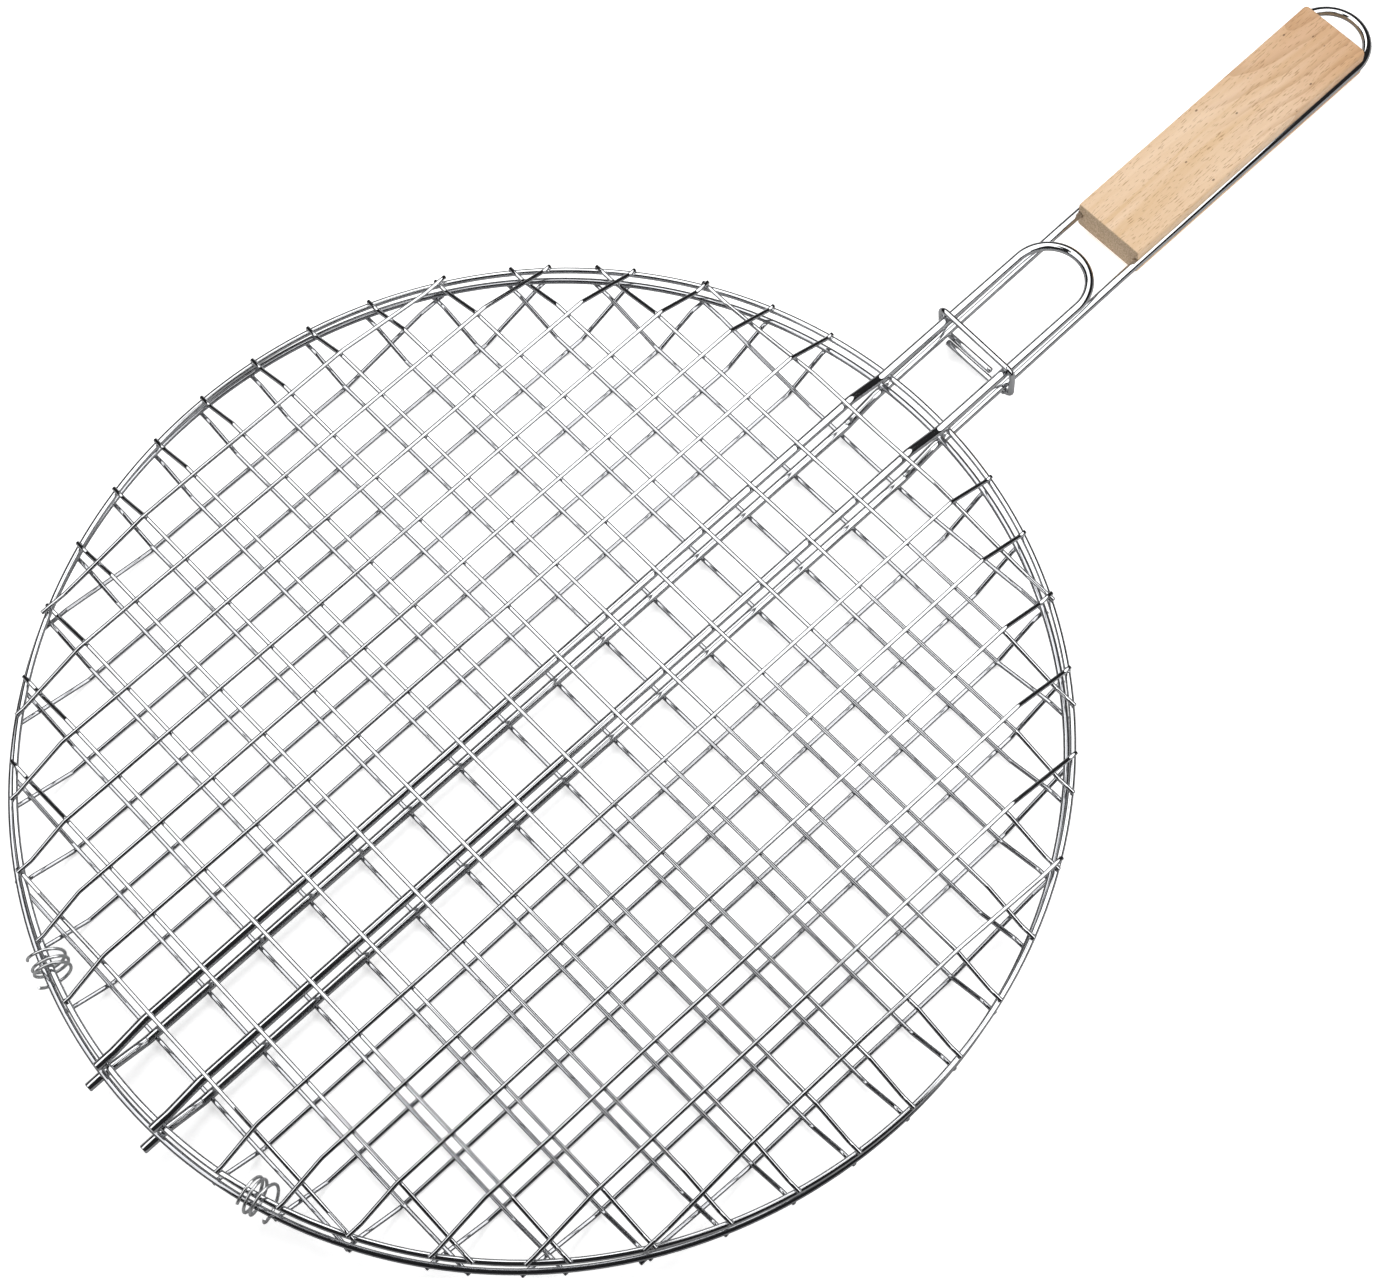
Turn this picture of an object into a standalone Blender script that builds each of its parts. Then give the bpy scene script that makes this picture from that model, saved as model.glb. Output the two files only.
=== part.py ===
"""Round grill basket: two hinged wire grids, a sliding locking ring and a wooden handle.

Metres, +Z up. The basket lies flat on its lower grid. X runs along the handle, towards its
hanging loop, Y across it. The origin is at the bottom centre of the whole object. The lower
grid is the upper one turned over, so both are built by the same functions: side is +1 for
the upper half and -1 for the lower one, and heights are measured from the plane between them.
"""

import math

import bmesh
import bpy
from mathutils import Vector

UPPER, LOWER = 1, -1
GAP = 0.00012  # left between wires that would touch where they cross

# Wires
THIN_R = 0.0007  # grid wires
RIM_R = 0.0010  # rim wires
ROD_R = 0.0015  # frame rods
SPRING_R = 0.0005  # hinge coils
RING_R = 0.0010  # locking ring

# Heights above the plane between the halves, to each wire's centre
LONG_TOP = 0.0105
CROSS_TOP = LONG_TOP - 2 * THIN_R - GAP
ROD_TOP = CROSS_TOP - THIN_R - ROD_R - GAP
RIM_HEIGHT = 0.0017
CROSS_RIM = RIM_HEIGHT + RIM_R + THIN_R + GAP
LONG_RIM = CROSS_RIM
ROD_RIM = RIM_HEIGHT + RIM_R + ROD_R + GAP
WELD_DEPTH = 0.00035  # how far a welded wire sinks into the rim
MIDDLE_Z = LONG_TOP + THIN_R

# Dish pressed into each grid
RIM_RADIUS = 0.159
DISH_START = 0.1425
DISH_END = 0.155
WIRE_END = RIM_RADIUS + 0.001

# Grid
CROSS_PITCH = 0.020
CROSS_EACH_SIDE = 7
LONG_PITCH = 0.02035
LONG_FIRST = 0.035
LONG_EACH_SIDE = 6

# Places along X
LOWER_CENTRE = -0.0985
UPPER_CENTRE = -0.096
CENTRE = {UPPER: UPPER_CENTRE, LOWER: LOWER_CENTRE}
HINGE_X = (LOWER_CENTRE + UPPER_CENTRE) / 2 - RIM_RADIUS
RING_X = 0.0885

# Frame rods
ROD_SPREAD = 0.0128  # from the middle line to each rod
ROD_STUB = {UPPER: 0.1615, LOWER: 0.1645}  # how far the far ends reach from the centre
U_CENTRE_X = 0.1203  # centre of the upper frame's U bend
LOOP_CENTRE_X = 0.2487  # centre of the lower frame's hanging loop
RISE_START_X = 0.060
RISE_END_X = 0.139
ROD_HANDLE = 0.0020  # the lower frame's depth below the middle plane, in the handle

# Wooden handle
HANDLE_FRONT_X = 0.1473
HANDLE_LENGTH = 0.1047
HANDLE_WIDTH = 0.026
HANDLE_THICKNESS = 0.012
HANDLE_ROUND = 0.0014
GROOVE_GAP = 0.0002

# Locking ring
RING_HALF_WIDTH = 0.0159
RING_HALF_HEIGHT = 0.0072
RING_CORNER = 0.0026
RING_OVERLAP = 0.00115  # half the distance between the two wire ends at the bottom
RING_END_FRONT = -0.0055
RING_END_BACK = 0.0115

# Hinge coils
COIL_R = 0.0056
COIL_TURNS = 3
COIL_LENGTH = 0.0092
COIL_Y = {"left": 0.0476, "right": -0.0488}

RIM_SEGMENTS = 72
ARC_STEPS = 14
COIL_STEPS = 12


def material(name, colour, metallic, roughness):
    """Returns a Principled BSDF material."""
    result = bpy.data.materials.new(name)
    result.use_nodes = True
    shader = result.node_tree.nodes["Principled BSDF"]
    shader.inputs["Base Color"].default_value = (*colour, 1.0)
    shader.inputs["Metallic"].default_value = metallic
    shader.inputs["Roughness"].default_value = roughness
    return result


def empty(name, location):
    """Returns an empty that pieces hang from."""
    result = bpy.data.objects.new(name, None)
    result.location = location
    bpy.context.collection.objects.link(result)
    return result


def place(obj, parent, location):
    """Parents obj and puts its origin at a world location."""
    obj.parent = parent
    obj.location = Vector(location) - parent.location


def wire(name, path, radius, finish, resolution=1):
    """Returns a round wire along a path, as a bevelled curve with filled ends."""
    curve = bpy.data.curves.new(name, "CURVE")
    curve.dimensions = "3D"
    curve.twist_mode = "MINIMUM"
    curve.bevel_depth = radius
    curve.bevel_resolution = resolution
    curve.use_fill_caps = True
    spline = curve.splines.new("POLY")
    spline.points.add(len(path) - 1)
    for point, place_on_path in zip(spline.points, path):
        point.co = (*place_on_path, 1.0)
    spline.use_smooth = True
    curve.materials.append(finish)
    result = bpy.data.objects.new(name, curve)
    bpy.context.collection.objects.link(result)
    return result


def helper_mesh(curve_object):
    """Turns a wire into a hidden closed mesh, for a Boolean."""
    evaluated = curve_object.evaluated_get(bpy.context.evaluated_depsgraph_get())
    mesh = bpy.data.meshes.new_from_object(evaluated)
    bm = bmesh.new()
    bm.from_mesh(mesh)
    bmesh.ops.remove_doubles(bm, verts=bm.verts, dist=1e-6)
    bmesh.ops.recalc_face_normals(bm, faces=bm.faces)
    bm.to_mesh(mesh)
    bm.free()
    result = bpy.data.objects.new(curve_object.name + "_helper", mesh)
    result.matrix_world = curve_object.matrix_world
    result.hide_render = True
    result.display_type = "WIRE"
    bpy.context.collection.objects.link(result)
    bpy.data.objects.remove(curve_object)
    return result


def combine(obj, helper, operation):
    """Adds or cuts a hidden helper with an exact Boolean."""
    modifier = obj.modifiers.new(helper.name, "BOOLEAN")
    modifier.object = helper
    modifier.operation = operation
    modifier.solver = "EXACT"
    helper.parent = obj.parent
    helper.location = obj.location


def slope(radius, start, end, high, low):
    """Height of a surface that falls evenly from high at start to low at end."""
    share = min(max((radius - start) / (end - start), 0.0), 1.0)
    return high + share * (low - high)


def mirrored(half):
    """Completes a path given from its middle to one end, as (along, height) pairs."""
    return [(-along, height) for along, height in reversed(half)] + half


def cross_path(offset, rim_height, side):
    """Path of a wire across the handle, at an offset along X from the basket's centre."""
    half = []
    for radius in (DISH_START, (DISH_START + DISH_END) / 2, DISH_END):
        height = slope(radius, DISH_START, DISH_END, CROSS_TOP, rim_height)
        half.append((math.sqrt(radius**2 - offset**2), height))
    half.append((math.sqrt(WIRE_END**2 - offset**2), rim_height))
    return [(0.0, along, side * height) for along, height in mirrored(half)]


def last_crossing(offset):
    """Distance along a lengthwise wire to the last wire that it crosses."""
    reached = 0.0
    for step in range(CROSS_EACH_SIDE + 1):
        along = step * CROSS_PITCH
        if math.sqrt(WIRE_END**2 - along**2) > offset + THIN_R:
            reached = along
    return reached


def long_path(offset, side):
    """Path of a wire along the handle, lying on the cross wires until the last of them.

    It follows the dish one wire further out, measured square to the slope, and comes down
    to the rim where the last cross wire leaves it the room.
    """
    lift = 2 * THIN_R + GAP
    drop = CROSS_TOP - CROSS_RIM
    shift = lift * math.tan(math.atan2(drop, DISH_END - DISH_START) / 2)
    start, end = DISH_START + shift, DISH_END + shift
    stacked = CROSS_RIM + lift
    half = []
    for radius in (start, (start + end) / 2, end):
        height = slope(radius, start, end, LONG_TOP, stacked)
        half.append((math.sqrt(radius**2 - offset**2), height))
    leave = max(last_crossing(abs(offset)) + 2.6 * THIN_R, half[-1][0])
    rim = math.sqrt(RIM_RADIUS**2 - offset**2)
    tip = math.sqrt(WIRE_END**2 - offset**2)
    if rim - leave > 4 * THIN_R:
        if leave > half[-1][0]:
            half.append((leave, stacked))
        half.append((rim - 2 * THIN_R, LONG_RIM))
        half.append((tip, LONG_RIM))
    else:
        half.append((tip, stacked))
    return [(along, 0.0, side * height) for along, height in mirrored(half)]


def arc(centre_x, radius, height):
    """Half circle in plan, from the +Y rod round to the -Y rod."""
    angles = [math.pi * (0.5 - step / ARC_STEPS) for step in range(ARC_STEPS + 1)]
    return [(centre_x + radius * math.cos(a), radius * math.sin(a), height) for a in angles]


def frame_path(side):
    """Path of a frame: out from the far rim, round the end bend and back."""
    centre = CENTRE[side]
    high, low = side * ROD_TOP, side * ROD_RIM
    rod = [(centre - ROD_STUB[side], low)]
    rod += [(centre - DISH_END, low), (centre - DISH_START, high)]
    rod += [(centre + DISH_START, high), (centre + DISH_END, low)]
    if side == UPPER:
        bend = arc(U_CENTRE_X, ROD_SPREAD, low)
    else:
        rod += [(RISE_START_X, low), (RISE_END_X, side * ROD_HANDLE)]
        bend = arc(LOOP_CENTRE_X, ROD_SPREAD, side * ROD_HANDLE)
    out = [(x, ROD_SPREAD, z) for x, z in rod]
    back = [(x, -ROD_SPREAD, z) for x, z in reversed(rod)]
    return out + bend + back


def rounded_corner(y, z, first_angle):
    """Quarter turn of the locking ring, round a point given by its corner's centre."""
    steps = 4
    angles = [first_angle + math.pi / 2 * step / steps for step in range(steps + 1)]
    return [(y + RING_CORNER * math.cos(a), z + RING_CORNER * math.sin(a)) for a in angles]


def ring_path():
    """Path of the locking ring: a closed rectangle whose ends lie side by side below."""
    y, z = RING_HALF_WIDTH - RING_CORNER, RING_HALF_HEIGHT - RING_CORNER
    outline = [(RING_END_FRONT, -RING_HALF_HEIGHT)]
    outline += rounded_corner(y, -z, -math.pi / 2)
    outline += rounded_corner(y, z, 0.0)
    outline += rounded_corner(-y, z, math.pi / 2)
    outline += rounded_corner(-y, -z, math.pi)
    outline += [(RING_END_BACK, -RING_HALF_HEIGHT)]
    walked = [0.0]
    for (y0, z0), (y1, z1) in zip(outline, outline[1:]):
        walked.append(walked[-1] + math.hypot(y1 - y0, z1 - z0))
    lead = [RING_OVERLAP * (1 - 2 * d / walked[-1]) for d in walked]
    lead[0] = lead[1] = RING_OVERLAP
    lead[-1] = lead[-2] = -RING_OVERLAP
    return [(x, y, z) for x, (y, z) in zip(lead, outline)]


def coil_path():
    """Path of a hinge coil about its own X axis."""
    path = []
    for step in range(COIL_TURNS * COIL_STEPS + 1):
        angle = 2 * math.pi * step / COIL_STEPS
        along = COIL_LENGTH * (step / (COIL_TURNS * COIL_STEPS) - 0.5)
        path.append((along, COIL_R * math.cos(angle), COIL_R * math.sin(angle)))
    return path


def build_rim(name, side, parent, finish):
    """Rim ring with the grid's two end wires welded to it."""
    bpy.ops.mesh.primitive_torus_add(
        major_radius=RIM_RADIUS,
        minor_radius=RIM_R,
        major_segments=RIM_SEGMENTS,
        minor_segments=8,
    )
    rim = bpy.context.object
    rim.name = rim.data.name = name
    rim.data.materials.append(finish)
    rim.data.shade_smooth()
    place(rim, parent, (CENTRE[side], 0.0, MIDDLE_Z))
    for vertex in rim.data.vertices:
        vertex.co.z += side * RIM_HEIGHT
    offset = CROSS_EACH_SIDE * CROSS_PITCH
    for sign in (-1, 1):
        path = cross_path(offset, CROSS_RIM - WELD_DEPTH, side)
        path = [(x + sign * offset, y, z) for x, y, z in path]
        helper = helper_mesh(wire(f"{name}_end_{sign}", path, THIN_R, finish))
        combine(rim, helper, "UNION")
    return rim


def build_grid(prefix, side, parent, finish):
    """The grid's free wires, numbered along +X and along +Y."""
    middle = (CENTRE[side], 0.0, MIDDLE_Z)
    inner = CROSS_EACH_SIDE - 1
    for number, step in enumerate(range(-inner, inner + 1), 1):
        offset = step * CROSS_PITCH
        path = cross_path(offset, CROSS_RIM, side)
        cross = wire(f"{prefix}_cross_wire_{number:02d}", path, THIN_R, finish)
        place(cross, parent, (middle[0] + offset, 0.0, MIDDLE_Z))
    positions = [LONG_FIRST + step * LONG_PITCH for step in range(LONG_EACH_SIDE)]
    offsets = [-y for y in reversed(positions)] + positions
    for number, offset in enumerate(offsets, 1):
        path = long_path(offset, side)
        name = f"{prefix}_long_wire_{number:02d}"
        long = wire(name, path, THIN_R, finish, resolution=2)
        place(long, parent, (middle[0], offset, MIDDLE_Z))


def build_frame(prefix, side, parent, finish):
    """The heavy rod bent into a long U that carries a grid."""
    frame = wire(f"{prefix}_frame_rod", frame_path(side), ROD_R, finish, resolution=2)
    place(frame, parent, (0.0, 0.0, MIDDLE_Z))
    return frame


def build_handle(parent, finish):
    """Wooden block held between the lower frame's rods, which lie in its side grooves."""
    bpy.ops.mesh.primitive_cube_add(size=1.0)
    handle = bpy.context.object
    handle.name = handle.data.name = "wooden_handle"
    size = (HANDLE_LENGTH, HANDLE_WIDTH, HANDLE_THICKNESS)
    for vertex in handle.data.vertices:
        vertex.co = [value * side for value, side in zip(vertex.co, size)]
    handle.data.materials.append(finish)
    bevel = handle.modifiers.new("rounded_edges", "BEVEL")
    bevel.width = HANDLE_ROUND
    bevel.segments = 3
    centre = Vector((HANDLE_FRONT_X + HANDLE_LENGTH / 2, 0.0, MIDDLE_Z - ROD_HANDLE))
    place(handle, parent, centre)
    path = [(x, y, z + ROD_HANDLE) for x, y, z in frame_path(LOWER)]
    path = [(x - centre.x, y, z) for x, y, z in path]
    groove = helper_mesh(wire("groove", path, ROD_R + GROOVE_GAP, finish, resolution=3))
    combine(handle, groove, "DIFFERENCE")
    return handle


def build_coil(name, y, parent, finish):
    """Loose coil wound round both rims, its axis along the rims' tangent."""
    reach = math.sqrt(RIM_RADIUS**2 - y**2)
    coil = wire(name, coil_path(), SPRING_R, finish)
    coil.rotation_euler.z = math.pi / 2 - math.asin(y / RIM_RADIUS)
    place(coil, parent, ((LOWER_CENTRE + UPPER_CENTRE) / 2 - reach, y, MIDDLE_Z))
    return coil


def main():
    """Builds the whole basket, closed and locked."""
    for obj in list(bpy.data.objects):
        bpy.data.objects.remove(obj)
    grid_steel = material("chromed_grid_wire", (0.60, 0.60, 0.61), 1.0, 0.16)
    rod_steel = material("chromed_rod", (0.56, 0.56, 0.57), 1.0, 0.12)
    spring_steel = material("spring_wire", (0.46, 0.46, 0.46), 1.0, 0.28)
    wood = material("pale_beech", (0.72, 0.49, 0.30), 0.0, 0.55)

    base = empty("base", (LOWER_CENTRE, 0.0, MIDDLE_Z))
    lid_pivot = empty("lid_pivot", (HINGE_X, 0.0, MIDDLE_Z))
    for prefix, side, parent in (("upper", UPPER, lid_pivot), ("lower", LOWER, base)):
        build_rim(f"{prefix}_rim", side, parent, grid_steel)
        build_grid(prefix, side, parent, grid_steel)
        build_frame(prefix, side, parent, rod_steel)
    build_handle(base, wood)
    for hand, y in COIL_Y.items():
        build_coil(f"hinge_coil_{hand}", y, base, spring_steel)
    ring = wire("locking_ring", ring_path(), RING_R, rod_steel, resolution=2)
    place(ring, base, (RING_X, 0.0, MIDDLE_Z))


main()
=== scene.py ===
"""Looks of a round hinged grill basket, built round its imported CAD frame.

Metres, +Z up, the basket lying on its lower grid with +X along the handle. Every wire is a
round profile carried along a bent path, and the two grids mirror each other in the plane
between them, so a side of +1 or -1 turns a height above that plane into a height of a half.
"""

import logging
import math
from dataclasses import dataclass, replace
from enum import Enum, IntEnum

import bpy
import numpy as np
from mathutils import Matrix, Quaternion, Vector


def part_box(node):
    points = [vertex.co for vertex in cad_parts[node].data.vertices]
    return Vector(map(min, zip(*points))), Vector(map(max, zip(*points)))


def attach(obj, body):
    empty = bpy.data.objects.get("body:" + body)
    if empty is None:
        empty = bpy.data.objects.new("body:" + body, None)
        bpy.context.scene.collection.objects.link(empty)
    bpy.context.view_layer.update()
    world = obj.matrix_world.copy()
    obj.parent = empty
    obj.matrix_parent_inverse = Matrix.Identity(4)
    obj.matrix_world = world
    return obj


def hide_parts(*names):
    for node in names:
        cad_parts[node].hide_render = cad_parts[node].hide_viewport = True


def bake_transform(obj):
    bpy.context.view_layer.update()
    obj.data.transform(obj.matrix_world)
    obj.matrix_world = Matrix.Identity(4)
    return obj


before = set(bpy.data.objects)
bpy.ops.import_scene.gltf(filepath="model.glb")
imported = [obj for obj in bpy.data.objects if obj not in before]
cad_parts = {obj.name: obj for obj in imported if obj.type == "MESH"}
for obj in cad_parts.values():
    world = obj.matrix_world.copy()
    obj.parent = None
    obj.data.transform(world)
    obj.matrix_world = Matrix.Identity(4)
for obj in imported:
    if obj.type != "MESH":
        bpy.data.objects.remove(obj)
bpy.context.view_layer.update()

MM = 0.001
LOG = logging.getLogger("grill_basket")
Material, Object = bpy.types.Material, bpy.types.Object
Socket, Tree = bpy.types.NodeSocket, bpy.types.NodeTree


class Body(str, Enum):
    """CAD bodies."""

    BASE = "base"
    LID = "lid"
    RING = "ring"


class Half(IntEnum):
    """The two grids, by the side of the middle plane that they are on."""

    UPPER = 1
    LOWER = -1

    @property
    def prefix(self) -> str:
        """Start of the names of this half's CAD nodes."""
        return self.name.lower()

    @property
    def body(self) -> Body:
        """CAD body that this half rides on."""
        return Body.LID if self is Half.UPPER else Body.BASE


class Run(IntEnum):
    """The two runs of grid wires, by the axis that they are spaced along."""

    CROSS = 0
    LONG = 1


class Seed(IntEnum):
    """Where the random draws start. In a run of wires each adds its own place in the run."""

    CROSSING_WELDS = 11
    RIM_WELDS = 12
    ROD_WELDS = 13
    CROSS_WIRES = 100
    END_WIRES = 150
    LONG_WIRES = 200


class Slot(str, Enum):
    """Names for material slots, which the script gives to no piece."""

    GRID_WIRE = "chromed_grid_wire"
    ROD = "chromed_rod"
    SPRING = "spring_wire"
    WOOD = "pale_beech"


class Easing(str, Enum):
    """How a share grows from none to all."""

    STRAIGHT = "LINEAR"
    EASED = "SMOOTHSTEP"


# ---------------------------------------------------------------------------------------
# Materials
# ---------------------------------------------------------------------------------------


def linear(colour: str) -> tuple[float, float, float, float]:
    """Turns an sRGB hex colour into linear light.

    Each channel is divided by 12.92 below 0.04045, and else ((c + 0.055) / 1.055) ** 2.4.

    Args:
        colour: the colour as "#rrggbb".

    Returns:
        Linear red, green, blue and an alpha of 1.
    """
    channel = np.array([int(colour[at : at + 2], 16) for at in (1, 3, 5)]) / 255
    light = np.where(channel > 0.04045, ((channel + 0.055) / 1.055) ** 2.4, channel / 12.92)
    return (*(float(value) for value in light), 1.0)


def add_node(
    tree: Tree, kind: str, settings: dict | None = None, links: dict | None = None
) -> bpy.types.Node:
    """Adds a node, sets its properties and fills its inputs.

    Args:
        tree: the node tree that gets the node.
        kind: the node's type name, without the ShaderNode in front.
        settings: property names and their values.
        links: input names or numbers, each with a socket to link or a value to set.

    Returns:
        The new node.
    """
    node = tree.nodes.new(f"ShaderNode{kind}")
    for name, value in (settings or {}).items():
        setattr(node, name, value)
    for name, value in (links or {}).items():
        if isinstance(value, Socket):
            tree.links.new(value, node.inputs[name])
        else:
            node.inputs[name].default_value = value
    return node


@dataclass(frozen=True)
class Shade:
    """A colour laid over others, with a share that goes from 0 at low to most at high."""

    colour: str
    low: float
    high: float
    most: float | Socket = 1.0
    easing: Easing = Easing.EASED


def layered(tree: Tree, base: str, layers: list[tuple[Socket, Shade]]) -> Socket:
    """Lays shades over a base colour, each over those before it.

    Args:
        tree: the node tree that gets the nodes.
        base: the colour below, as sRGB hex.
        layers: pairs of the value that a shade follows and the shade, from the lowest up.

    Returns:
        The colour that shows.
    """
    colour = linear(base)
    for value, shade in layers:
        share = add_node(
            tree,
            "MapRange",
            {"interpolation_type": shade.easing.value},
            {"Value": value, "From Min": shade.low, "From Max": shade.high, "To Max": shade.most},
        ).outputs["Result"]
        links = {"Factor": share, 6: colour, 7: linear(shade.colour)}
        colour = add_node(tree, "Mix", {"data_type": "RGBA"}, links).outputs[2]
    return colour


@dataclass(frozen=True)
class Pattern:
    """Noise in real sizes: one feature to length_mm along a piece and width_mm across it.

    The lean is the turn of the pattern against the piece, in radians round X, Y and Z.
    """

    length_mm: float
    width_mm: float
    detail: float = 2.0
    roughness: float = 0.5
    distortion: float = 0.0
    lean: tuple[float, float, float] = (0.0, 0.0, 0.0)

    def scaled(self, tree: Tree, place: Socket) -> Socket:
        """Returns a place with one unit to the length along and to the width across."""
        across = 1 / (self.width_mm * MM)
        scale = (1 / (self.length_mm * MM), across, across)
        links = {"Vector": place, "Rotation": self.lean, "Scale": scale}
        return add_node(tree, "Mapping", links=links).outputs["Vector"]

    def noise(self, tree: Tree, place: Socket) -> Socket:
        """Returns the noise at a place."""
        links = {
            "Vector": self.scaled(tree, place),
            "Scale": 1.0,
            "Detail": self.detail,
            "Roughness": self.roughness,
            "Distortion": self.distortion,
        }
        return add_node(tree, "TexNoise", links=links).outputs["Fac"]


def new_material(name: str) -> tuple[Material, bpy.types.Node]:
    """Makes an empty node material.

    Args:
        name: the material's name.

    Returns:
        The material and its Principled BSDF node.
    """
    material = bpy.data.materials.new(name)
    material.use_nodes = True
    return material, material.node_tree.nodes["Principled BSDF"]


@dataclass(frozen=True)
class PlatedWire:
    """Mild steel wire, drawn through a die and then bright plated.

    Plating over drawn wire mirrors its surroundings as long stripes, which the faint draw
    lines soften a little, and thin grey clouds show where the bath left it duller.
    """

    name: str
    colour: str = "#D4D5D7"
    dull_colour: str = "#BBBCBE"
    roughness: float = 0.045
    cloud_roughness: float = 0.11
    draw_line_mm: float = 0.25
    draw_length_mm: float = 9.0
    cloud_mm: float = 14.0
    pit_mm: float = 0.35
    line_depth_mm: float = 0.004
    bump: float = 0.25
    dull_span: tuple[float, float] = (0.45, 0.72)
    rough_span: tuple[float, float] = (0.35, 0.75)

    def material(self) -> Material:
        """Builds the material on the wire's own straightened place.

        Returns:
            The finished material.
        """
        material, shader = new_material(self.name)
        tree = material.node_tree
        place = add_node(tree, "Attribute", {"attribute_name": "straightened"}).outputs["Vector"]
        # Draw lines are far longer along the wire than round it.
        lines = Pattern(self.draw_length_mm, self.draw_line_mm, 2.0, 0.6).noise(tree, place)
        clouds = Pattern(self.cloud_mm, self.cloud_mm, 3.0).noise(tree, place)
        pits = Pattern(self.pit_mm, self.pit_mm, 1.0).noise(tree, place)
        dull = Shade(self.dull_colour, *self.dull_span, easing=Easing.STRAIGHT)
        tint = layered(tree, self.colour, [(clouds, dull)])
        gloss = add_node(
            tree,
            "MapRange",
            links={
                "Value": clouds,
                "From Min": self.rough_span[0],
                "From Max": self.rough_span[1],
                "To Min": self.roughness,
                "To Max": self.cloud_roughness,
            },
        ).outputs["Result"]
        height = add_node(tree, "Math", {"operation": "ADD"}, {0: lines, 1: pits}).outputs["Value"]
        depth = self.line_depth_mm * MM
        links = {"Height": height, "Strength": self.bump, "Distance": depth}
        bump = add_node(tree, "Bump", links=links).outputs["Normal"]
        shader.inputs["Metallic"].default_value = 1.0
        tree.links.new(tint, shader.inputs["Base Color"])
        tree.links.new(gloss, shader.inputs["Roughness"])
        tree.links.new(bump, shader.inputs["Normal"])
        return material


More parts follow.
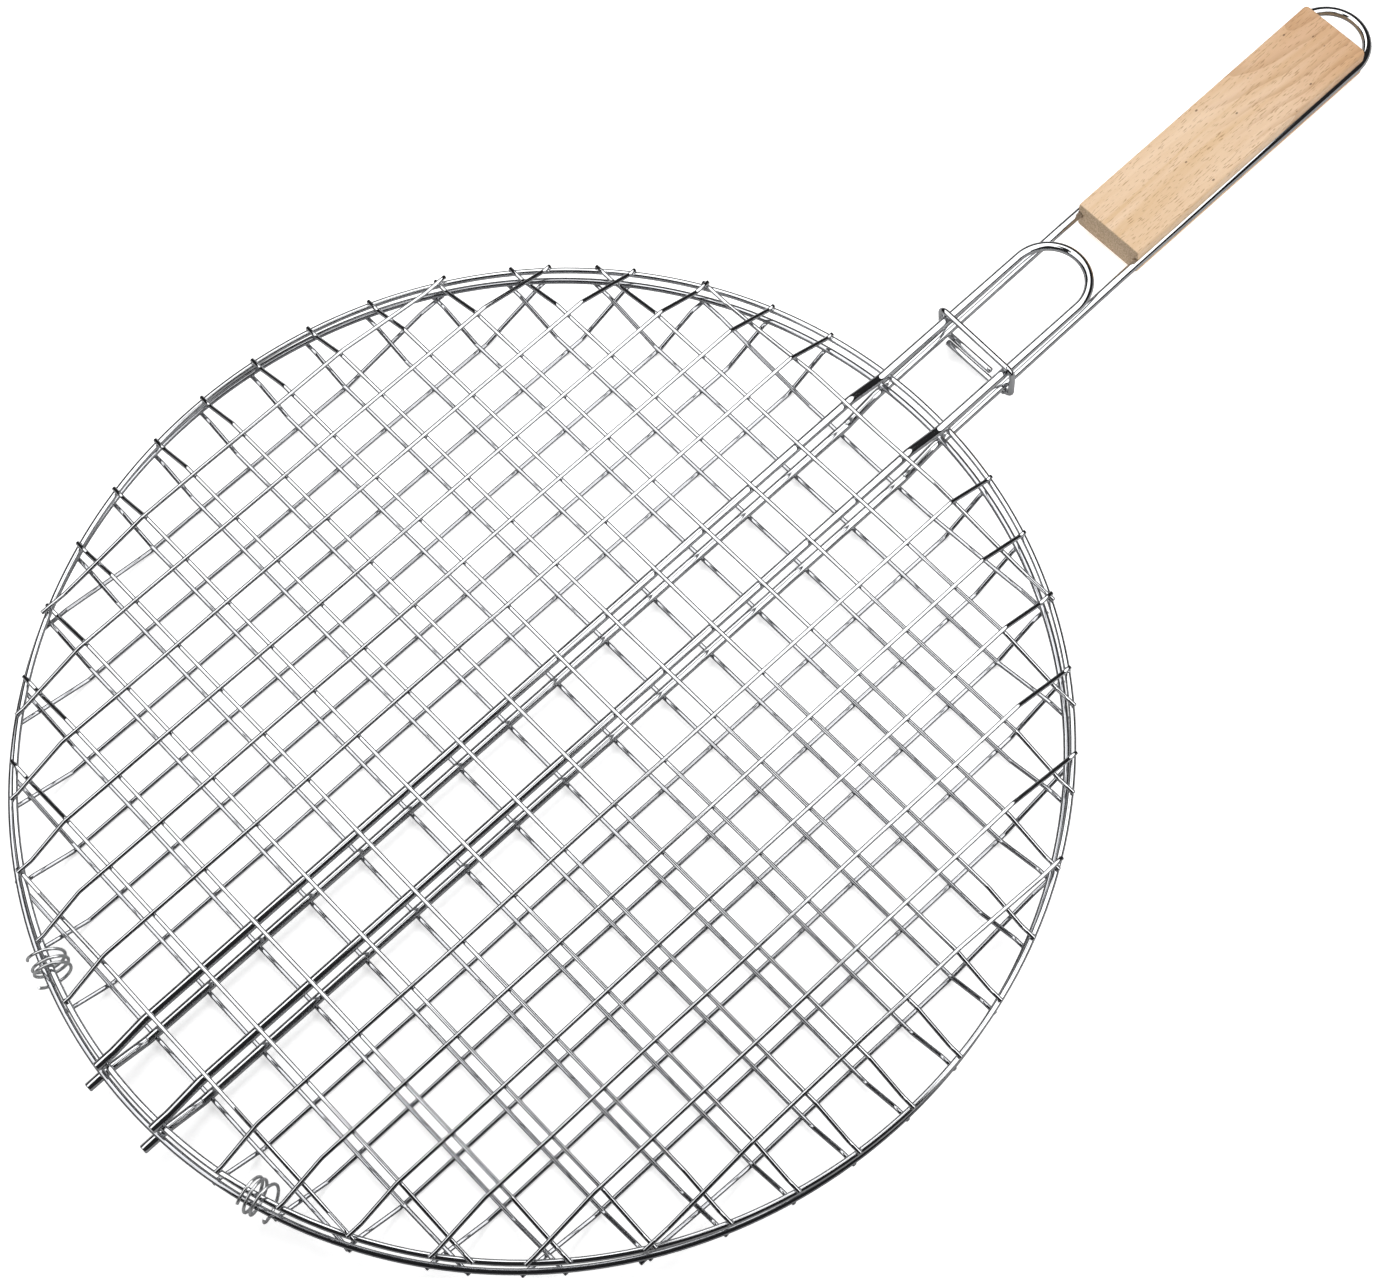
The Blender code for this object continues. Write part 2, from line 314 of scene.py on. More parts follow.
@dataclass(frozen=True)
class OiledBeech:
    """Beech, sawn to a block, sanded and lightly oiled.

    It is pale tan with short brown pore streaks along the grain, broad soft bands of warmer
    wood, a few dark specks, and a browner, pitted end grain. Amber heartwood and growth
    rings show towards the hanging loop. Their spans along the handle are in metres of X.
    """

    name: str = "beech_sanded_and_oiled"
    tan: str = "#DDBB93"
    pale: Shade = Shade("#EACDAE", 0.32, 0.62, easing=Easing.STRAIGHT)
    amber: Shade = Shade("#CB9B70", 0.225, 0.302, 0.75)
    late_wood: Shade = Shade("#A9774C", 0.55, 1.0, 0.34)
    fibre: Shade = Shade("#DDBB93", 0.50, 0.72, 0.35)
    pore: Shade = Shade("#A0764E", 0.60, 0.69, 0.62)
    speck: Shade = Shade("#5A3A22", 0.94, 0.97, 0.75)
    end_pore: str = "#A98E70"
    end_wood: Shade = Shade("#CDB496", 0.38, 0.60, easing=Easing.STRAIGHT)
    bands: Pattern = Pattern(70.0, 5.0, 3.0, 0.55, 0.6, (0.0, 0.02, 0.10))
    front: Pattern = Pattern(45.0, 7.0, 2.0, 0.5, 1.0, (0.0, 0.02, 0.25))
    rings: Pattern = Pattern(4.4, 4.4, distortion=2.6, lean=(0.0, 0.16, 0.06))
    fibres: Pattern = Pattern(5.6, 0.22, 2.0, 0.6, lean=(0.0, 0.02, 0.03))
    pores: Pattern = Pattern(2.8, 0.34, 1.5, 0.45, lean=(0.0, 0.02, 0.03))
    specks: Pattern = Pattern(11.2, 7.0, lean=(0.0, 0.02, 0.03))
    end_pores: Pattern = Pattern(2.0, 0.5, 2.0, 0.6, lean=(0.0, 0.02, 0.03))
    front_depth: float = 0.06
    ring_start: tuple[float, float, float] = (0.262, 0.010, 0.0140)
    ring_ripple: float = 0.6
    ring_span: tuple[float, float] = (0.190, 0.220)
    roughness: float = 0.52
    pore_roughness: float = 0.68
    pore_span: tuple[float, float] = (0.3, 0.7)
    pore_depth_mm: float = 0.05
    bump: float = 0.5
    ior: float = 1.46
    specular: float = 0.35

    def material(self, centre: tuple[float, float, float]) -> Material:
        """Builds the material on Object coordinates.

        Args:
            centre: the middle of the block, which the figure is centred on.

        Returns:
            The finished material.
        """
        material, shader = new_material(self.name)
        tree = material.node_tree
        place = add_node(tree, "TexCoord").outputs["Object"]
        less = {"operation": "SUBTRACT"}
        in_block, from_heart = (
            add_node(tree, "VectorMath", less, {0: place, 1: start}).outputs["Vector"]
            for start in (centre, self.ring_start)
        )
        along = add_node(tree, "SeparateXYZ", links={"Vector": place}).outputs["X"]
        bands, front, fibres, pores, dots = (
            pattern.noise(tree, in_block)
            for pattern in (self.bands, self.front, self.fibres, self.pores, self.end_pores)
        )
        # The heartwood's front is ragged and follows the grain.
        times_plus = {"operation": "MULTIPLY_ADD"}
        links = {0: front, 1: self.front_depth, 2: along}
        ragged = add_node(tree, "Math", times_plus, links).outputs["Value"]
        # Growth rings: cylinders round a line that rises through the block towards the loop,
        # so that the sanded top cuts them in nested arches. One ring to a unit.
        wave_to_ring = math.pi / 10  # the wave repeats every pi / 10 at a scale of 1
        rings = add_node(
            tree,
            "TexWave",
            {"wave_type": "RINGS", "rings_direction": "X", "wave_profile": "SAW"},
            {
                "Vector": self.rings.scaled(tree, from_heart),
                "Scale": wave_to_ring,
                "Distortion": self.rings.distortion,
                "Detail": self.rings.detail,
                "Detail Scale": self.ring_ripple,
            },
        ).outputs["Fac"]
        near_loop = add_node(
            tree,
            "MapRange",
            {"interpolation_type": Easing.EASED.value},
            {
                "Value": along,
                "From Min": self.ring_span[0],
                "From Max": self.ring_span[1],
                "To Max": self.late_wood.most,
            },
        ).outputs["Result"]
        links = {"Vector": self.specks.scaled(tree, in_block), "Scale": 1.0}
        cells = add_node(tree, "TexVoronoi", links=links).outputs["Distance"]
        specks = add_node(tree, "Math", less, {0: 1.0, 1: cells}).outputs["Value"]
        layers = [
            (bands, self.pale),
            (ragged, self.amber),
            (rings, replace(self.late_wood, most=near_loop)),
            (fibres, self.fibre),
            (pores, self.pore),
            (specks, self.speck),
        ]
        # End grain: pores cut across show as dots, and the cut wood drinks oil and darkens.
        links = {
            "Factor": add_node(tree, "Attribute", {"attribute_name": "end_grain"}).outputs["Fac"],
            6: layered(tree, self.tan, layers),
            7: layered(tree, self.end_pore, [(dots, self.end_wood)]),
        }
        colour = add_node(tree, "Mix", {"data_type": "RGBA"}, links).outputs[2]
        links = {0: pores, 1: -1.0, 2: fibres}
        relief = add_node(tree, "Math", times_plus, links).outputs["Value"]
        depth = self.pore_depth_mm * MM
        links = {"Height": relief, "Strength": self.bump, "Distance": depth}
        bump = add_node(tree, "Bump", links=links).outputs["Normal"]
        gloss = add_node(
            tree,
            "MapRange",
            links={
                "Value": pores,
                "From Min": self.pore_span[0],
                "From Max": self.pore_span[1],
                "To Min": self.roughness,
                "To Max": self.pore_roughness,
            },
        ).outputs["Result"]
        tree.links.new(colour, shader.inputs["Base Color"])
        tree.links.new(gloss, shader.inputs["Roughness"])
        tree.links.new(bump, shader.inputs["Normal"])
        shader.inputs["IOR"].default_value = self.ior
        shader.inputs["Specular IOR Level"].default_value = self.specular
        return material


@dataclass(frozen=True)
class LitFloor:
    """Matt white acrylic, lit a little from below: no gloss, and only faint soft shadows.

    Mirrored in the wires it is a mid grey, which draws their edges as thin grey lines.
    """

    name: str = "studio_acrylic_matt_white"
    colour: str = "#F4F4F4"
    mirrored_colour: str = "#B2B2B2"
    glow: float = 0.60
    bounced_glow: float = 0.45
    roughness: float = 0.9
    specular: float = 0.1

    def material(self) -> Material:
        """Builds the material.

        Returns:
            The finished material.
        """
        material, shader = new_material(self.name)
        shader.inputs["Roughness"].default_value = self.roughness
        shader.inputs["Specular IOR Level"].default_value = self.specular
        shader.inputs["Emission Color"].default_value = linear("#FFFFFF")
        tree = material.node_tree
        rays = add_node(tree, "LightPath").outputs
        mirrored, seen = rays["Is Glossy Ray"], rays["Is Camera Ray"]
        links = {"Factor": mirrored, 6: linear(self.colour), 7: linear(self.mirrored_colour)}
        colour = add_node(tree, "Mix", {"data_type": "RGBA"}, links).outputs[2]
        links = {"Value": mirrored, "To Min": self.bounced_glow, "To Max": 0.0}
        bounced = add_node(tree, "MapRange", links=links).outputs["Result"]
        links = {"Value": seen, "To Min": bounced, "To Max": self.glow}
        glow = add_node(tree, "MapRange", links=links).outputs["Result"]
        tree.links.new(colour, shader.inputs["Base Color"])
        tree.links.new(glow, shader.inputs["Emission Strength"])
        return material


# ---------------------------------------------------------------------------------------
# Shapes
# ---------------------------------------------------------------------------------------


def box_middle(node: str, axis: int) -> float:
    """Returns the middle of a CAD node's box along an axis."""
    return sum(corner[axis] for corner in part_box(node)) / 2


def run_nodes(half: Half, run: Run) -> list[str]:
    """Returns the names of the CAD wires of one run, in order."""
    start = f"{half.prefix}_{run.name.lower()}_wire_"
    return sorted(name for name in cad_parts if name.startswith(start))


def grid_faces(rows: int, sides: int, closed: bool = False) -> np.ndarray:
    """Faces between the rows of a surface whose rows run back into themselves.

    Args:
        rows: number of rows.
        sides: points in a row.
        closed: whether the last row joins the first.

    Returns:
        (n, 4) point numbers.
    """
    row = np.arange(rows if closed else rows - 1)[:, None]
    column = np.arange(sides)[None, :]
    after, beside = (row + 1) % rows, (column + 1) % sides
    corners = ((row, column), (row, beside), (after, beside), (after, column))
    return np.stack([down * sides + round_it for down, round_it in corners], -1).reshape(-1, 4)


def new_object(name: str, points: np.ndarray, faces: list, smooth: np.ndarray) -> Object:
    """Puts points and faces into a new object at the origin.

    Args:
        name: the object's name.
        points: (n, 3) places of the points.
        faces: the point numbers of each face.
        smooth: one flag for each face.

    Returns:
        The object, linked to the scene.
    """
    mesh = bpy.data.meshes.new(name)
    mesh.from_pydata(points.tolist(), [], faces)
    mesh.polygons.foreach_set("use_smooth", smooth.astype(bool))
    mesh.update()
    result = bpy.data.objects.new(name, mesh)
    bpy.context.collection.objects.link(result)
    return result


def store(piece: Object, name: str, values: np.ndarray) -> None:
    """Stores a number or a vector for each point of a piece.

    Args:
        piece: the piece.
        name: the attribute's name.
        values: (n,) numbers or (n, 3) vectors.
    """
    vectors = values.ndim == 2
    kind, key = ("FLOAT_VECTOR", "vector") if vectors else ("FLOAT", "value")
    attribute = piece.data.attributes.new(name, kind, "POINT")
    attribute.data.foreach_set(key, values.astype(np.float32).ravel())


def unit(vectors: np.ndarray) -> np.ndarray:
    """Returns the vectors scaled to length 1."""
    return vectors / np.linalg.norm(vectors, axis=-1, keepdims=True)


def walked(path: np.ndarray) -> np.ndarray:
    """Returns the distance walked along a path at each of its points."""
    return np.append(0.0, np.cumsum(np.linalg.norm(np.diff(path, axis=0), axis=1)))


def respaced(path: np.ndarray, spacing: float) -> np.ndarray:
    """Adds evenly spaced points to a path, and drops the doubled ones.

    The path is read at its own distances and at every multiple of the spacing.

    Args:
        path: (n, 3) points.
        spacing: distance between the added points.

    Returns:
        (m, 3) points of the same path.
    """
    distance = walked(path)
    kept = np.append(True, np.diff(distance) > 1e-7)
    path, distance = path[kept], distance[kept]
    even = np.linspace(0.0, distance[-1], max(int(distance[-1] / spacing), 1) + 1)
    places = np.union1d(distance, even)
    places = places[np.append(True, np.diff(places) > 2e-5)]
    places[-1] = distance[-1]
    return np.stack([np.interp(places, distance, axis) for axis in path.T], axis=1)


def bent(corners: np.ndarray, bend: float, spacing: float = 4 * MM) -> np.ndarray:
    """Wire path through corners, each rounded as a wire bends.

    Round each corner the path is the parabola (1-t)^2 A + 2t(1-t) P + t^2 B, where P is the
    corner, and A and B lie on the runs before and after it, bend * tan(half the turn) away
    or half a run away if that is less.

    Args:
        corners: (n, 3) ends and corners of the wire.
        bend: radius that the wire is bent round.
        spacing: longest distance between points on a straight run.

    Returns:
        (m, 3) points along the wire.
    """
    run = np.diff(corners, axis=0)
    length = np.linalg.norm(run, axis=1)
    ahead = run / length[:, None]
    turn = np.arccos(np.clip((ahead[:-1] * ahead[1:]).sum(1), -1.0, 1.0))
    reach = np.minimum(bend * np.tan(turn / 2), np.minimum(length[:-1], length[1:]) / 2)
    share = np.linspace(0.0, 1.0, 9)[None, :, None]
    middle = corners[1:-1]
    before = (middle - ahead[:-1] * reach[:, None])[:, None]
    after = (middle + ahead[1:] * reach[:, None])[:, None]
    curve = (1 - share) ** 2 * before + 2 * share * (1 - share) * middle[:, None]
    curve = curve + share**2 * after
    path = np.concatenate([corners[:1], curve.reshape(-1, 3), corners[-1:]])
    return respaced(path, spacing)


def wavered(path: np.ndarray, sideways: np.ndarray, amount: float, seed: int) -> np.ndarray:
    """Lets a hand-laid wire stray a little from its line.

    The offset is two sine waves of seeded length and phase, times sin(pi * share), which
    keeps both ends in place.

    Args:
        path: (n, 3) points.
        sideways: direction of the offset.
        amount: largest offset of one wave.
        seed: number that sets the waves.

    Returns:
        (n, 3) points.
    """
    draw = np.random.default_rng(seed)
    phase, turns = draw.uniform(0, 2 * math.pi, 2), draw.uniform(1.2, 3.4, 2)
    share = walked(path)
    share = (share / share[-1])[:, None]
    waves = np.sin(2 * math.pi * turns * share + phase).mean(axis=1)
    return path + np.outer(amount * waves * np.sin(math.pi * share[:, 0]), sideways)


def tube(
    name: str,
    path: np.ndarray,
    radius: float,
    reference: tuple[float, float, float],
    sides: int = 14,
    closed: bool = False,
) -> Object:
    """Round wire along a path, with deburred ends.

    At each point the tangent T, F = reference x T and S = T x F make a frame, and the ring
    there is the point + radius * (cos(a) F + sin(a) S) for a round the turn. Open wires get
    a chamfer of a fifth of the radius and a flat cut at each end.

    Args:
        name: the piece's name.
        path: (n, 3) points. A closed path doesn't repeat its first point.
        radius: the wire's radius.
        reference: a direction that the path never runs along.
        sides: points round the wire.
        closed: whether the wire runs back into its start.

    Returns:
        The wire, with the attribute "straightened": distance along it, and place across it.
    """
    if closed:
        tangent = unit(np.roll(path, -1, axis=0) - np.roll(path, 1, axis=0))
        radii = np.full(len(path), radius)
    else:
        tangent = unit(np.gradient(path, axis=0))
        chamfer = radius / 5
        inner = path[1:-1]
        first, last = path[0], path[-1]
        path = np.concatenate(
            [
                [first, first + tangent[0] * chamfer],
                inner,
                [last - tangent[-1] * chamfer, last],
            ]
        )
        tangent = np.concatenate([tangent[:1], tangent, tangent[-1:]])
        radii = np.full(len(path), radius)
        radii[[0, -1]] = radius - chamfer
    across = unit(np.cross(np.array(reference, float), tangent))
    upward = np.cross(tangent, across)
    angle = np.linspace(0.0, 2 * math.pi, sides, endpoint=False)
    cosine, sine = np.cos(angle)[None, :, None], np.sin(angle)[None, :, None]
    round_it = cosine * across[:, None] + sine * upward[:, None]
    points = (path[:, None] + radii[:, None, None] * round_it).reshape(-1, 3)
    rows = len(path)
    faces = grid_faces(rows, sides, closed).tolist()
    smooth = np.ones(len(faces))
    if not closed:
        end = np.arange(sides)
        faces += [end[::-1].tolist(), (end + (rows - 1) * sides).tolist()]
        smooth = np.append(smooth, [0, 0])
    piece = new_object(name, points, faces, smooth)
    along = np.repeat(walked(path), sides)
    turn = np.tile(angle, rows)
    place = np.stack([along, radius * np.cos(turn), radius * np.sin(turn)], axis=1)
    store(piece, "straightened", place)
    return piece


def beads(
    name: str, places: np.ndarray, sizes: np.ndarray, seed: int, spread: float = 0.25
) -> Object:
    """Small weld beads, as one piece.

    Each bead is an ellipsoid: place + size * (sin(u) cos(v), sin(u) sin(v), cos(u)), with u
    from pole to pole and v round the turn, and each size drawn a little larger or smaller.

    Args:
        name: the piece's name.
        places: (n, 3) centres.
        sizes: (n, 3) half sizes along X, Y and Z.
        seed: number that sets the draws.
        spread: share by which a size may differ.

    Returns:
        The beads, with the attribute "straightened" holding their own places.
    """
    around, rings = 8, 4
    down = np.linspace(0.0, math.pi, rings + 2)[1:-1]
    turn = np.linspace(0.0, 2 * math.pi, around, endpoint=False)
    belt = np.stack(
        [
            np.outer(np.sin(down), np.cos(turn)),
            np.outer(np.sin(down), np.sin(turn)),
            np.repeat(np.cos(down)[:, None], around, axis=1),
        ],
        axis=-1,
    ).reshape(-1, 3)
    ball = np.concatenate([belt, [[0, 0, 1.0], [0, 0, -1.0]]])
    top, bottom = len(belt), len(belt) + 1
    quads = grid_faces(rings, around)[:, [0, 3, 2, 1]]
    step = np.arange(around)
    following = (step + 1) % around
    low = (rings - 1) * around
    upper_fan = np.stack([np.full(around, top), step, following], axis=1)
    lower_fan = np.stack([np.full(around, bottom), low + following, low + step], axis=1)
    scale = 1 + np.random.default_rng(seed).uniform(-spread, spread, (len(places), 1, 3))
    points = places[:, None] + sizes[:, None] * scale * ball[None]
    shift = (np.arange(len(places)) * len(ball))[:, None, None]
    faces = []
    for group in (quads, upper_fan, lower_fan):
        faces += (group[None] + shift).reshape(-1, group.shape[1]).tolist()
    points = points.reshape(-1, 3)
    piece = new_object(name, points, faces, np.ones(len(faces)))
    store(piece, "straightened", points)
    return piece


def finish_piece(
    piece: Object,
    material: Material,
    nodes: tuple[str, ...],
    body: Body | None = None,
) -> None:
    """Gives a piece its finish, and says what it stands for and what it rides on.

    Args:
        piece: the piece.
        material: its finish.
        nodes: the CAD nodes that it replaces, if any.
        body: the CAD body that it rides on, if any.
    """
    piece.data.materials.append(material)
    if nodes:
        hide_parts(*nodes)
    if body:
        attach(piece, body.value)
    LOG.info("%s: %d faces, for %s", piece.name, len(piece.data.polygons), ", ".join(nodes) or "-")


# ---------------------------------------------------------------------------------------
# The basket
# ---------------------------------------------------------------------------------------


@dataclass
class WireGrid:
    """One of the two dished grids: its rim, the wires across and along, and their welds."""

    half: Half
    middle_z: float
    wire_radius: float = 0.7 * MM
    rim_radius: float = 1.0 * MM
    long_height: float = 10.5 * MM
    weld_sink: float = 0.15 * MM  # how far crossing wires melt into each other
    rim_height: float = 1.7 * MM
    dish_start: float = 142.5 * MM
    dish_end: float = 155.0 * MM
    pitch_across: float = 20.0 * MM
    bend: float = 4.0 * MM
    stray: float = 0.16 * MM
    step_clear: float = 2.6  # how far past the last cross wire it steps down, in wire radii
    end_pitches: int = 7  # from the centre to the two wires that end the grid
    rim_points: int = 240
    crossing_bead: tuple[float, float, float] = (0.72 * MM, 0.72 * MM, 0.34 * MM)
    rim_bead: tuple[float, float, float] = (0.95 * MM, 0.95 * MM, 0.42 * MM)

    def __post_init__(self) -> None:
        """Reads the grid's centre and radius off its CAD rim."""
        low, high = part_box(f"{self.half.prefix}_rim")
        self.centre_x = (low.x + high.x) / 2
        self.circle = (high.x - low.x) / 2 - self.rim_radius
        self.lift = 2 * self.wire_radius - self.weld_sink
        self.cross_height = self.long_height - self.lift
        self.cross_rim = self.rim_height + self.rim_radius + self.wire_radius - self.weld_sink
        self.wire_end = self.circle + self.rim_radius
        self.end = self.end_pitches * self.pitch_across
        self.cross_offsets = self.offsets(Run.CROSS)
        self.long_offsets = self.offsets(Run.LONG)
        self.across = np.array([*self.cross_offsets.values(), -self.end, self.end])
        self.along = np.array([*self.long_offsets.values()])

    def offsets(self, run: Run) -> dict[str, float]:
        """Returns how far each CAD wire of a run lies from the grid's centre."""
        centre = self.centre_x if run is Run.CROSS else 0.0
        return {node: box_middle(node, run) - centre for node in run_nodes(self.half, run)}

    def set_down(self, along: np.ndarray, across: np.ndarray, height: np.ndarray) -> np.ndarray:
        """Turns places from the grid's centre and heights from the middle plane into points."""
        level = self.middle_z + int(self.half) * np.asarray(height)
        return np.stack(np.broadcast_arrays(self.centre_x + along, across, level), axis=1)

    def cross_profile(self, offset: float) -> tuple[np.ndarray, np.ndarray]:
        """Distances from the middle line and heights of a wire across the handle.

        Level over the dish's floor, down its slope between two circles, level to the rim.

        Args:
            offset: the wire's place along X from the centre.

        Returns:
            Distances and heights of the corners, from one end to the other.
        """
        radii = np.array([self.dish_start, self.dish_end, self.wire_end])
        reach = np.sqrt(radii**2 - offset**2)
        height = np.array([self.cross_height, self.cross_rim, self.cross_rim])
        return np.append(-reach[::-1], reach), np.append(height[::-1], height)

    def long_profile(self, offset: float) -> tuple[np.ndarray, np.ndarray]:
        """Distances from the centre and heights of a wire along the handle.

        It rides one wire outside the cross wires down the slope, and steps down to the rim
        past the last of them where there is room.

        Args:
            offset: the wire's place along Y.

        Returns:
            Distances and heights of the corners, from one end to the other.
        """
        drop, width = self.cross_height - self.cross_rim, self.dish_end - self.dish_start
        shift = self.lift * math.tan(math.atan2(drop, width) / 2)
        reach = np.sqrt((np.array([self.dish_start, self.dish_end]) + shift) ** 2 - offset**2)
        height = np.array([self.long_height, self.cross_rim + self.lift])
        steps = np.arange(self.end_pitches + 1) * self.pitch_across
        inside = np.sqrt(np.maximum(self.wire_end**2 - steps**2, 0)) > offset + self.wire_radius
        leave = max(steps[inside][-1] + self.step_clear * self.wire_radius, reach[-1])
        rim, tip = (math.sqrt(r**2 - offset**2) for r in (self.circle, self.wire_end))
        if rim - leave > 4 * self.wire_radius:
            if leave > reach[-1]:
                reach, height = np.append(reach, leave), np.append(height, height[-1])
            reach = np.append(reach, [rim - 2 * self.wire_radius, tip])
            height = np.append(height, [self.cross_rim, self.cross_rim])
        else:
            reach, height = np.append(reach, tip), np.append(height, height[-1])
        return np.append(-reach[::-1], reach), np.append(height[::-1], height)

    def wire(self, name: str, run: Run, offset: float, seed: int) -> Object:
        """Makes one wire of a run, straying a little to its sides.

        Args:
            name: the piece's name.
            run: the run that it belongs to.
            offset: its place from the centre, along the axis that the run is spaced along.
            seed: number that sets how it strays.

        Returns:
            The wire.
        """
        if run is Run.CROSS:
            reach, height = self.cross_profile(offset)
            corners = self.set_down(offset, reach, height)
        else:
            reach, height = self.long_profile(abs(offset))
            corners = self.set_down(reach, offset, height)
        sideways = np.eye(3)[run]
        path = wavered(bent(corners, self.bend), sideways, self.stray, seed)
        return tube(name, path, self.wire_radius, tuple(sideways))

    def rim(self) -> Object:
        """The rim: a circle of heavier wire, butt welded into a ring."""
        angle = np.linspace(0.0, 2 * math.pi, self.rim_points, endpoint=False)
        path = self.set_down(
            self.circle * np.cos(angle), self.circle * np.sin(angle), self.rim_height
        )
        name = f"{self.half.prefix}_rim_wire"
        return tube(name, path, self.rim_radius, (0.0, 0.0, 1.0), 16, closed=True)

    def crossing_welds(self) -> Object:
        """Weld beads where wires along lie on wires across."""
        x, y = (grid.ravel() for grid in np.meshgrid(self.across, self.along))
        radius = np.hypot(x, y)
        kept = radius < self.wire_end - 2 * self.wire_radius
        x, y, radius = x[kept], y[kept], radius[kept]
        fall = np.clip((radius - self.dish_start) / (self.dish_end - self.dish_start), 0, 1)
        height = self.cross_height + fall * (self.cross_rim - self.cross_height)
        places = self.set_down(x, y, height + self.lift / 2)
        sizes = np.tile(np.array(self.crossing_bead), (len(places), 1))
        name = f"{self.half.prefix}_crossing_welds"
        return beads(name, places, sizes, Seed.CROSSING_WELDS)

    def rim_welds(self) -> Object:
        """Weld beads where the wire ends lie on the rim."""
        side_y = np.sqrt(self.circle**2 - self.across**2)
        side_x = np.sqrt(self.circle**2 - self.along**2)
        x = np.concatenate([self.across, self.across, side_x, -side_x])
        y = np.concatenate([side_y, -side_y, self.along, self.along])
        height = self.rim_height + self.rim_radius - self.weld_sink / 2
        places = self.set_down(x, y, np.full(len(x), height))
        sizes = np.tile(np.array(self.rim_bead), (len(places), 1))
        return beads(f"{self.half.prefix}_rim_welds", places, sizes, Seed.RIM_WELDS)

    def build(self, material: Material) -> None:
        """Builds the grid's pieces and lets them ride on its body.

        Args:
            material: the plated grid wire.
        """
        rim_node = f"{self.half.prefix}_rim"
        made = [(self.rim(), (rim_node,))]
        for seed, (node, offset) in enumerate(self.cross_offsets.items(), Seed.CROSS_WIRES):
            made.append((self.wire(f"{node}_plated", Run.CROSS, offset, seed), (node,)))
        ends = {"back": -self.end, "front": self.end}
        for seed, (side, offset) in enumerate(ends.items(), Seed.END_WIRES):
            name = f"{self.half.prefix}_end_wire_{side}"
            made.append((self.wire(name, Run.CROSS, offset, seed), (rim_node,)))
        for seed, (node, offset) in enumerate(self.long_offsets.items(), Seed.LONG_WIRES):
            made.append((self.wire(f"{node}_plated", Run.LONG, offset, seed), (node,)))
        made += [(self.crossing_welds(), ()), (self.rim_welds(), ())]
        for piece, nodes in made:
            finish_piece(piece, material, nodes, self.half.body)


@dataclass
class FrameRod:
    """Heavy rod bent into a long U, which carries one grid."""

    half: Half
    middle_z: float
    radius: float = 1.5 * MM
    spread: float = 12.8 * MM
    top: float = 7.1 * MM
    rim_top: float = 4.12 * MM
    handle_height: float = 2.0 * MM
    dish_start: float = 142.5 * MM
    dish_end: float = 155.0 * MM
    rise_from_x: float = 60.0 * MM
    rise_to_x: float = 139.0 * MM
    bend: float = 7.0 * MM
    arc_points: int = 41
    bead: tuple[float, float, float] = (0.8 * MM, 1.1 * MM, 0.3 * MM)

    def path(self) -> np.ndarray:
        """The rod's centre line: one side out, a half circle, the other side back.

        Returns:
            (n, 3) points.
        """
        low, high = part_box(f"{self.half.prefix}_frame_rod")
        centre = box_middle(f"{self.half.prefix}_rim", 0)
        bend_x = high.x - self.radius - self.spread
        x = [low.x, centre - self.dish_end, centre - self.dish_start]
        x += [centre + self.dish_start, centre + self.dish_end]
        height = [self.rim_top, self.rim_top, self.top, self.top, self.rim_top]
        if self.half is Half.LOWER:
            x += [self.rise_from_x, self.rise_to_x]
            height += [self.rim_top, self.handle_height]
        angle = np.linspace(math.pi / 2, -math.pi / 2, self.arc_points)
        side_x, side_height = np.array(x), np.array(height)
        arc_x, arc_y = bend_x + self.spread * np.cos(angle), self.spread * np.sin(angle)
        along = np.concatenate([side_x, arc_x, side_x[::-1]])
        across = np.concatenate(
            [np.full(len(x), self.spread), arc_y, np.full(len(x), -self.spread)]
        )
        level = np.concatenate(
            [side_height, np.full(len(angle), side_height[-1]), side_height[::-1]]
        )
        corners = np.stack([along, across, self.middle_z + int(self.half) * level], axis=1)
        return bent(corners, self.bend)

    def build(self, material: Material) -> None:
        """Builds the rod, and its welds to the wires across it.

        Args:
            material: the plated rod.
        """
        node = f"{self.half.prefix}_frame_rod"
        rod = tube(f"{node}_plated", self.path(), self.radius, (0.0, 0.0, 1.0), 24)
        finish_piece(rod, material, (node,), self.half.body)
        x = np.repeat([box_middle(wire, 0) for wire in run_nodes(self.half, Run.CROSS)], 2)
        y = np.tile([-self.spread, self.spread], len(x) // 2)
        level = self.middle_z + int(self.half) * (self.top + self.radius)
        places = np.stack([x, y, np.full(len(x), level)], axis=1)
        sizes = np.tile(np.array(self.bead), (len(places), 1))
        welds = beads(f"{self.half.prefix}_rod_welds", places, sizes, Seed.ROD_WELDS)
        finish_piece(welds, material, (), self.half.body)


